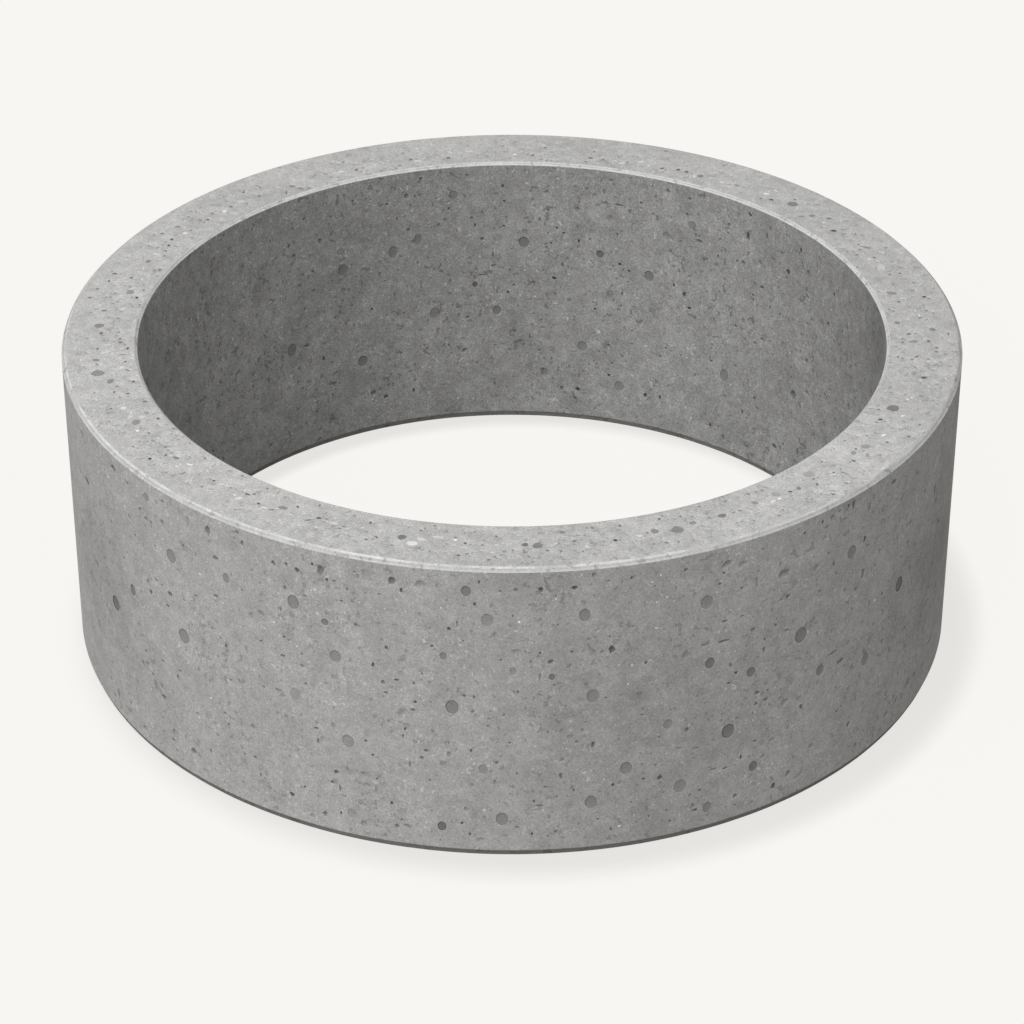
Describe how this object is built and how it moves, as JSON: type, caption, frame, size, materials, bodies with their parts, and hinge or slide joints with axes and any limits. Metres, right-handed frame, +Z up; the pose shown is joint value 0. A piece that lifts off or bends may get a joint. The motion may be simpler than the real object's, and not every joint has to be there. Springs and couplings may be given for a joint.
{
  "type": "concrete culvert ring",
  "caption": "Plain concrete culvert ring: a short straight-walled pipe length with flat ends and chamfered rims, stood on end.",
  "frame": {"origin": "on the ring's axis, at the level of the foot", "axes": "+Z up the ring's axis towards the chamfered top end; X and Y radial, with +X to the right as the ring is first seen"},
  "size_m": [0.84, 0.84, 0.3],
  "materials": {
    "cast_concrete": "dry, matt cast concrete with air voids, pits and paler worn arrises"
  },
  "bodies": {
    "root": {"concrete_ring": "cast_concrete"}
  },
  "joints": []
}
